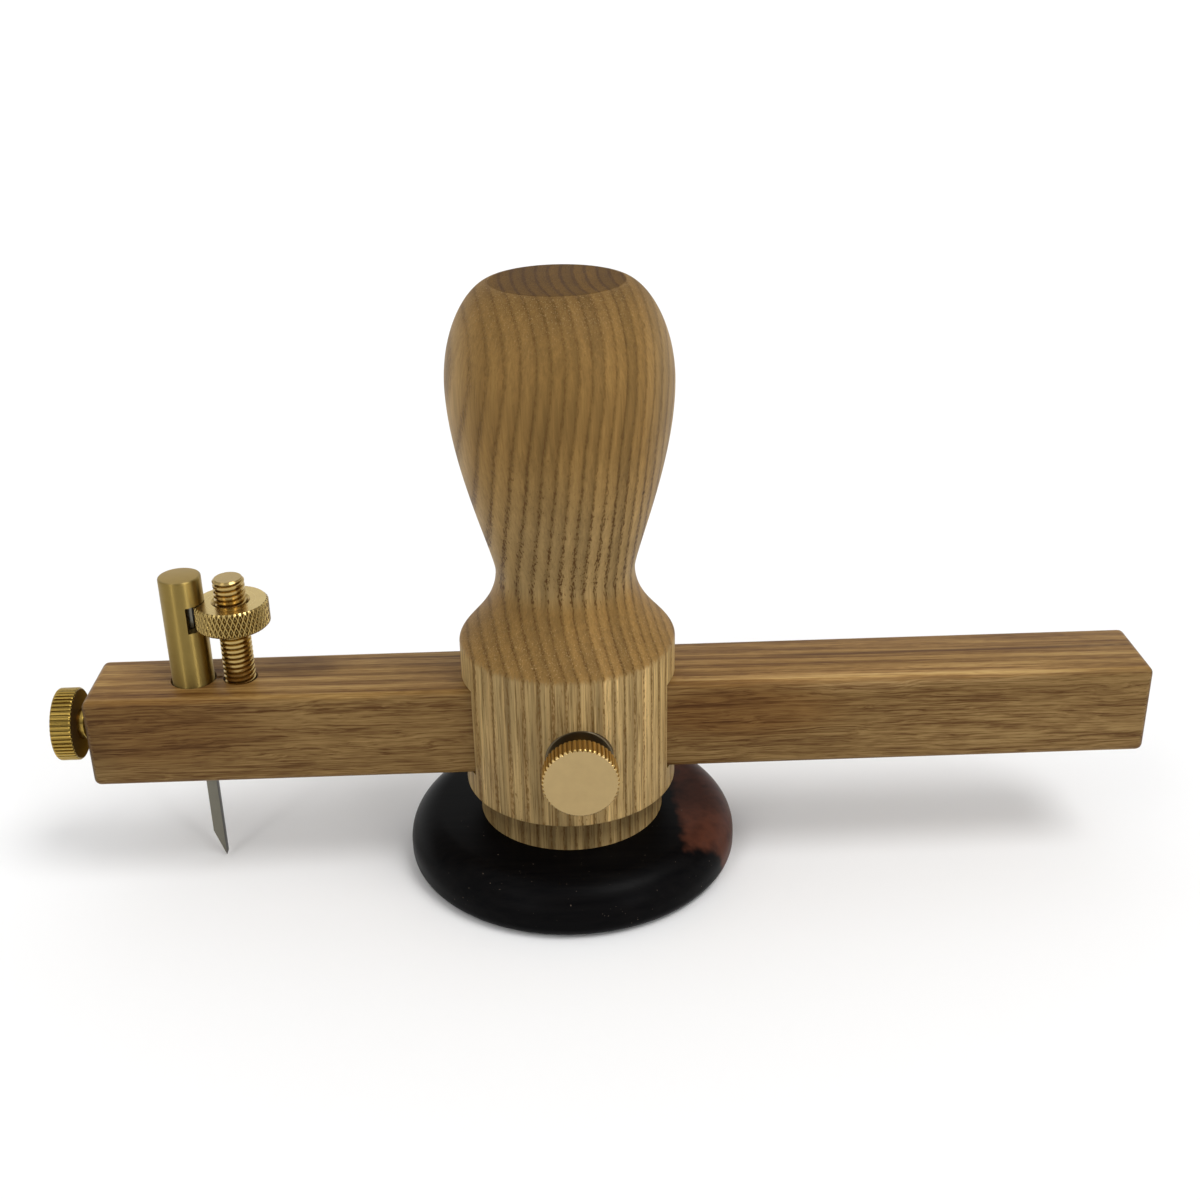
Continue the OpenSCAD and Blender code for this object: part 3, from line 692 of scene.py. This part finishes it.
def make_beam():
    beam = block("wooden_beam", BEAM_LOW, BEAM_HIGH, 1.4 * MM, 6)
    post_hole_r = (POST_HIGH.x - POST_LOW.x) / 2 + 0.1 * MM
    post_hole = worn_hole("post_hole", post_hole_r, POST_MID.x, BEAM_LOW.z - 2 * MM)
    rod_hole_r = THREAD_D / 2 + 0.05 * MM
    rod_hole = worn_hole("rod_hole", rod_hole_r, (ROD_LOW.x + ROD_HIGH.x) / 2, ROD_LOW.z)
    insert_r = (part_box("lock_insert")[1].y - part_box("lock_insert")[0].y) / 2 + 0.02 * MM
    pad_low, pad_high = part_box("lock_pad")
    pad_r = (pad_high.y - pad_low.y) / 2 + SLIDE_GAP
    start, insert_l = BEAM_LOW.x - MM, 12 * MM
    length = pad_low.x + 5 * MM - start
    lock_hole = turned("lock_hole", [(0, 0), (insert_r, 0), (insert_r, insert_l), (pad_r, insert_l),
                                     (pad_r, length), (0, length)], 96)
    placed(lock_hole, along((1, 0, 0), (start, 0, BEAM_MID.z)))
    chip = turned("chip", [(0, -0.3 * MM)] + arc(0, 0, 0.3 * MM, -60, 60, 4) + [(0, 0.3 * MM)], 16)
    placed(chip, Matrix.Translation((POST_MID.x + 4.75 * MM, 0.2 * MM, BEAM_HIGH.z)) @ Matrix.Diagonal((2.6, 1.5, 1, 1)))
    carve(beam, post_hole, rod_hole, lock_hole, chip)
    dress(smooth(beam, 40), "beam", "beam_wood", BEAM_WOOD, "beam")


def screw_places():
    """Middles of the sole screws' heads, on the underside."""
    ring_r = SCREWS_HIGH.y - SCREW_HEAD_R
    angles = [math.radians(90 + 360 * i / SCREW_COUNT) for i in range(SCREW_COUNT)]
    return [Vector((ring_r * math.cos(a), ring_r * math.sin(a), 0)) for a in angles]


def make_sole():
    top_round, foot_round = 6.3 * MM, 2.6 * MM
    outline = (
        line((0, 0), (SOLE_R - foot_round, 0), 4 * MM)
        + arc(SOLE_R - foot_round, foot_round, foot_round, -90, 0, 14)
        + arc(SOLE_R - top_round, SOLE_H - top_round, top_round, 0, 90, 24)
        + line((SOLE_R - top_round - MM, SOLE_H), (0, SOLE_H), 4 * MM) + [(0, SOLE_H)]
    )
    sole = turned("round_sole", outline, 288)
    flange_r = BUSH_HIGH.x
    well = turned("well", [(0, -MM), (flange_r, -MM), (flange_r, 1.5 * MM), (5 * MM, 1.5 * MM),
                           (5 * MM, 12 * MM), (0, 12 * MM)], 96)
    sink = SCREWS_LOW.z
    head_r, shank_r = SCREW_HEAD_R + 0.05 * MM, SCREW_SHANK_R + 0.05 * MM
    countersink = [(0, -MM), (head_r, -MM), (head_r, sink), (shank_r, sink + SCREW_HEAD_H),
                   (shank_r, 12 * MM), (0, 12 * MM)]
    sinks = [placed(turned("sink", countersink, 64), Matrix.Translation(at)) for at in screw_places()]
    carve(sole, well, *sinks)
    dress(smooth(sole, 32), "handle_unit", "sole_wood", SOLE_WOOD, "sole")


# Brass and steel pieces

def make_sole_screws():
    """Three countersunk screws with slotted heads, seen from below."""
    sink, top = SCREWS_LOW.z, SCREWS_HIGH.z
    rim = 0.15 * MM
    outline = [(0, sink), (SCREW_HEAD_R - rim, sink), (SCREW_HEAD_R, sink + rim),
               (SCREW_SHANK_R, sink + SCREW_HEAD_H), (SCREW_SHANK_R, top - 2 * MM), (0, top)]
    bm = bmesh.new()
    for at, angle in zip(screw_places(), SLOT_ANGLES):
        screw = turned("screw", outline, 64)
        slot = block("slot", (-5 * MM, -SLOT_W / 2, -MM), (5 * MM, SLOT_W / 2, sink + SLOT_DEPTH))
        placed(slot, Matrix.Rotation(math.radians(angle), 4, "Z"))
        placed(carve(screw, slot), Matrix.Translation(at))
        bm.from_mesh(screw.data)
        bpy.data.objects.remove(screw)
    screws = from_bmesh("countersunk_screws", bm)
    dress(smooth(screws, 30), "handle_unit", "steel", STEEL, "sole_screws")


def thread(name, length, neck=0.0, end_bevel=0.5 * MM, segments=72):
    """Rod along +Z with a right-hand helical thread after a plain neck, bevelled at its far end."""
    rows_per_turn = 16
    crest = THREAD_D / 2
    turns = math.ceil((length - neck) / THREAD_PITCH) + 1
    bm = bmesh.new()
    rows = [[(crest * math.cos(a), crest * math.sin(a), 0.0)
             for a in (2 * math.pi * i / segments for i in range(segments + 1))]]
    for k in range(-rows_per_turn, turns * rows_per_turn + 1):
        row = []
        for i in range(segments + 1):
            share = i / segments
            z = neck + THREAD_PITCH * (k / rows_per_turn + share)
            z = min(max(z, neck), length)
            phase = (z - neck) / THREAD_PITCH - share
            flank = min(max(1.3 - 4.4 * abs(phase % 1 - 0.5), 0.0), 1.0)
            depth = THREAD_DEPTH * flank
            lead_in = min(1.0, (z - neck) / THREAD_PITCH)
            r = min(crest - depth * lead_in, crest - end_bevel + (length - z))
            angle = 2 * math.pi * share
            row.append((r * math.cos(angle), r * math.sin(angle), z))
        rows.append(row)
    rows.append([(0, 0, length)] * (segments + 1))
    rows.insert(0, [(0, 0, 0)] * (segments + 1))
    grid_surface(bm, rows)
    return from_bmesh(name, bm)


def ridged_head(name, radius, length):
    """Thumb screw's head along +Z from its front face, with straight ridges and bevelled rims."""
    bevel = 0.35 * MM
    dish = 0.05 * MM

    def shape(r, z, angle):
        wave = 0.5 - 0.5 * math.cos(RIDGE_COUNT * angle)
        ridge = radius - RIDGE_DEPTH * min(max((wave - 0.4) / 0.45, 0.0), 1.0)
        return min(r, ridge) if r > radius * 0.9 else r

    body = [(radius, bevel + (length - 2 * bevel) * i / 6) for i in range(7)]
    outline = (
        [(0, dish), (0.3 * MM, dish), (0.5 * MM, 0)]
        + [(r * MM, 0) for r in (2, 4, 6)]
        + [(radius - bevel, 0), (radius - bevel * 0.45, bevel * 0.3)] + body
        + [(radius - bevel * 0.45, length - bevel * 0.3), (radius - bevel, length), (2 * MM, length), (0, length)]
    )
    return turned(name, outline, RIDGE_COUNT * 8, shape)


def make_thumb_screw(name, body, material, head_face, tip, direction):
    """Thumb screw whose front face is at head_face, with its tip at tip, pointing in direction."""
    reach = (Vector(tip) - Vector(head_face)).length
    radius = 7 * MM
    screw = ridged_head(name, radius, HEAD_L)
    shank = thread("shank", reach - HEAD_L + 0.5 * MM, 1.6 * MM)
    placed(shank, Matrix.Translation((0, 0, HEAD_L - 0.5 * MM)))
    carve(screw, shank, operation="UNION")
    placed(screw, along(direction, head_face))
    return dress(smooth(screw, 28), body, "brass", material, body)


def make_clamp_insert():
    """Dark flanged insert in the barrel, its rim slightly rounded."""
    flange_r = (FLANGE_HIGH.x - FLANGE_LOW.x) / 2
    flange_h, rim, bore_r, barrel_r = 1.4 * MM, 0.25 * MM, THREAD_D / 2 + TURN_GAP, 4.48 * MM
    length = FLANGE_HIGH.y - FLANGE_LOW.y
    outline = (
        [(bore_r, 0), (bore_r + 0.3 * MM, -0.0)]
        + line((bore_r + 0.3 * MM, 0), (flange_r - rim, 0), MM)
        + [(r, rim - z) for r, z in arc(flange_r - rim, 0, rim, 90, 0, 5)]
        + [(flange_r, flange_h), (barrel_r, flange_h), (barrel_r, length), (bore_r, length), (bore_r, 0)]
    )
    insert = turned("flanged_insert", outline, 128)
    placed(insert, along((0, 1, 0), (CLAMP_X, FLANGE_LOW.y, BEAM_MID.z)))
    dress(smooth(insert, 30), "handle_unit", "dark_steel", DARK_STEEL, "clamp_insert")


def make_post():
    r = (POST_HIGH.x - POST_LOW.x) / 2
    length = POST_HIGH.z - POST_LOW.z
    bevel = 0.35 * MM
    outline = ([(0, 0), (r - bevel, 0)] + line((r, bevel), (r, length - bevel), 2 * MM)
               + arc(r - bevel, length - bevel, bevel, 0, 90, 5) + [(0, length)])
    post = turned("round_post", outline, 160)
    placed(post, Matrix.Translation((POST_MID.x, 0, POST_LOW.z)))
    gap = 0.15 * MM
    notch = block("notch", (POST_MID.x + 1.2 * MM, -6 * MM, NUT_LOW.z - gap),
                  (POST_MID.x + 6 * MM, 6 * MM, NUT_HIGH.z + gap))
    socket_r = 1.465 * MM
    blade_x = (BLADE_LOW.x + BLADE_HIGH.x) / 2
    socket_h = BLADE_HIGH.z - POST_LOW.z + MM
    socket = turned("socket", [(0, 0), (socket_r, 0), (socket_r, socket_h), (0, socket_h)], 48)
    placed(socket, Matrix.Translation((blade_x, 0, POST_LOW.z - MM)))
    hole_r = 1.5 * MM
    hole = turned("hole", [(0, 0), (hole_r, 0), (hole_r, 6 * MM), (0, 6 * MM)], 48)
    placed(hole, along((0, 1, 0), (blade_x, 0, box_mid("blade_grub_screw").z)))
    carve(post, notch, socket, hole)
    dress(smooth(post, 30), "cutter", "brass", POST_BRASS, "cutter_post")
    face_ends(post, FACED_BRASS, (0, 0, 1), (0, 0, -1))


def make_blade():
    """Square blade, ground on one side to a point."""
    bm = bmesh.new()
    w = BLADE_HIGH.x - BLADE_LOW.x
    h = BLADE_HIGH.z - BLADE_LOW.z
    bevel_l = 5.9 * MM
    profile = [(w, 0), (w, h), (0, h), (0, bevel_l)]
    faces = []
    for y in (0.0, w):
        faces.append([bm.verts.new((BLADE_LOW.x + x, BLADE_LOW.y + y, BLADE_LOW.z + z)) for x, z in profile])
    bm.faces.new(faces[0])
    bm.faces.new(list(reversed(faces[1])))
    for i in range(len(profile)):
        j = (i + 1) % len(profile)
        bm.faces.new((faces[0][j], faces[0][i], faces[1][i], faces[1][j]))
    bmesh.ops.recalc_face_normals(bm, faces=bm.faces)
    long_edges = [e for e in bm.edges if abs(e.verts[0].co.z - e.verts[1].co.z) > 20 * MM]
    bmesh.ops.bevel(bm, geom=long_edges, offset=0.08 * MM, segments=2, profile=0.5, affect="EDGES")
    blade = dress(smooth(from_bmesh("square_blade", bm), 30), "cutter", "steel", STEEL, "cutter_blade")
    face_ends(blade, SHADED_STEEL, (1, 0, 0))


def make_nut():
    """Round nut with a fine diamond knurl on its rim and a countersunk bore."""
    r = (NUT_HIGH.x - NUT_LOW.x) / 2
    h = NUT_HIGH.z - NUT_LOW.z
    bevel, sink = 0.4 * MM, 0.6 * MM
    bore_r = THREAD_D / 2 + TURN_GAP
    around, depth, slant = 44, 0.42 * MM, 2.4 * MM

    def shape(rr, z, angle):
        if rr < r - bevel * 1.01 or rr < bore_r + MM:
            return rr
        turns = around * angle / (2 * math.pi)
        away = [1 - abs((turns + s * z / slant) % 1 - 0.5) * 2 for s in (1, -1)]
        pit = min(max((min(away) - 0.12) / 0.6, 0.0), 1.0)
        return min(rr, r - depth * pit * pit * (3 - 2 * pit))

    rows = 48
    rim = [(r, bevel + (h - 2 * bevel) * i / rows) for i in range(rows + 1)]
    outline = (
        [(bore_r, sink), (bore_r + sink, 0), (bore_r + sink + 0.5 * MM, 0), (r - bevel - 0.5 * MM, 0),
         (r - bevel, 0), (r - bevel / 2, bevel / 2)] + rim
        + [(r - bevel / 2, h - bevel / 2), (r - bevel, h), (r - bevel - 0.5 * MM, h),
           (bore_r + sink + 0.5 * MM, h), (bore_r + sink, h), (bore_r, h - sink), (bore_r, sink)]
    )
    nut = turned("knurled_nut", outline, around * 12, shape)
    placed(nut, Matrix.Translation((NUT_MID.x, 0, NUT_LOW.z)))
    dress(smooth(nut, 40), "depth_nut", "brass", NUT_BRASS, "depth_nut")


def make_depth_screw():
    rod = thread("threaded_rod", ROD_HIGH.z - ROD_LOW.z, 12 * MM, 0.45 * MM)
    placed(rod, Matrix.Translation(((ROD_LOW.x + ROD_HIGH.x) / 2, 0, ROD_LOW.z)))
    dress(smooth(rod, 28), "beam", "brass", ROD_BRASS, "depth_screw")


def dress_cad_nodes():
    """The pieces that stay as they are get their materials."""
    for node, material in (("pivot_bush", BRASS), ("clamp_pad", BRASS), ("lock_insert", DARK_STEEL),
                           ("lock_pad", BRASS), ("blade_grub_screw", DARK_STEEL)):
        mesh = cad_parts[node].data
        mesh.materials.clear()
        mesh.materials.append(material)


make_handle()
make_sole()
make_sole_screws()
make_beam()
make_clamp_insert()
make_thumb_screw("clamp_thumb_screw", "clamp_screw", CLAMP_BRASS,
                 (CLAMP_X, CLAMP_LOW.y, BEAM_MID.z), (CLAMP_X, CLAMP_HIGH.y, BEAM_MID.z), (0, 1, 0))
lock = make_thumb_screw("lock_thumb_screw", "lock_screw", LOCK_BRASS,
                        (LOCK_LOW.x, 0, BEAM_MID.z), (LOCK_HIGH.x, 0, BEAM_MID.z), (1, 0, 0))
face_ends(lock, PAINTED_REFLECTION_BRASS, (1, 0, 0))
make_depth_screw()
make_nut()
make_post()
make_blade()
dress_cad_nodes()


# Camera, floor and light

def make_camera():
    """Camera at the photograph's viewing angle."""
    data = bpy.data.cameras.new("camera")
    data.sensor_width = 36
    data.lens = 45.39
    data.clip_start = 0.01
    camera = bpy.data.objects.new("camera", data)
    right = Vector((0.99914164, -0.03785672, -0.01681817))
    up = Vector((0.03129282, 0.42374049, 0.90524292))
    back = right.cross(up)
    pose = Matrix((right, up, back)).transposed().to_4x4()
    pose.translation = (-0.001384, -0.258404, 0.175274)
    camera.matrix_world = pose
    bpy.context.scene.collection.objects.link(camera)
    bpy.context.scene.camera = camera


def make_floor():
    bm = bmesh.new()
    bmesh.ops.create_grid(bm, x_segments=1, y_segments=1, size=12)
    bmesh.ops.translate(bm, verts=bm.verts, vec=(0, 0, -0.02 * MM))
    floor = from_bmesh("floor", bm)
    n = Nodes("floor")
    color = n.mix(n.seen(), (0.6, 0.6, 0.6, 1), (0.93, 0.93, 0.93, 1))
    n.finish(Base_Color=color, Roughness=0.9, Specular_IOR_Level=0.0)
    floor.data.materials.append(n.material)


# Azimuth, half width and soft edge in degrees, lowest and highest sine of the height, strength
ROOM_LIGHTS = (
    (-123, 3, 3, 0.05, 0.8, 4.2),
    (-51, 2.5, 2.5, 0.05, 0.8, 6.0),
    (-163, 20, 12, 0.0, 0.7, 0.5),
    (-28, 11, 8, 0.0, 0.7, 0.8),
)


def make_world():
    """A pale room: bright overhead and behind, dim on the camera's side between two strip lights."""
    world = bpy.data.worlds.new("world")
    world.use_nodes = True
    bpy.context.scene.world = world
    n = Nodes("room")
    n.tree = world.node_tree
    direction = n.add("ShaderNodeTexCoord").outputs["Generated"]
    height = n.dot(direction, (0, 0, 1))
    across = n.length(n.stretch(direction, (1, 1, 0)))
    up = n.smoothstep(height, 0.35, 0.9)
    back = n.smoothstep(n.dot(direction, (0, 1, 0)), -0.5, 0.7)
    level = n.remap(back, 0, 1, 0.08, 0.75)
    for azimuth, spread, soft, low, high, strength in ROOM_LIGHTS:
        angle = math.radians(azimuth)
        towards = n.math("DIVIDE", n.dot(direction, (math.cos(angle), math.sin(angle), 0)), across)
        inside = n.smoothstep(towards, math.cos(math.radians(spread + soft)), math.cos(math.radians(spread)))
        rows = n.math("MULTIPLY", n.smoothstep(height, low - 0.06, low + 0.06),
                      n.smoothstep(height, high + 0.06, high - 0.06))
        level = n.math("ADD", level, n.math("MULTIPLY", n.math("MULTIPLY", inside, rows), strength))
    level = n.remap(up, 0, 1, level, 0.8)
    backdrop = n.math("MULTIPLY", n.seen(), n.smoothstep(height, 0.42, 0.34))
    level = n.math("MAXIMUM", level, backdrop)
    background = world.node_tree.nodes["Background"]
    n.set(background.inputs["Strength"], level)
    n.set(background.inputs["Color"], (1, 1, 1, 1))
    bpy.data.materials.remove(n.material)


def make_sun(name, towards, spread, power):
    data = bpy.data.lights.new(name, "SUN")
    data.angle = math.radians(spread)
    data.energy = power
    sun = bpy.data.objects.new(name, data)
    sun.matrix_world = along(towards, (0, 0, 1))
    bpy.context.scene.collection.objects.link(sun)


make_camera()
make_floor()
make_world()
make_sun("key", (0.4, -0.25, 0.9), 28, 1.1)
make_sun("fill", (-0.5, -0.45, 0.75), 24, 0.2)
bpy.context.scene.view_settings.view_transform = "Standard"
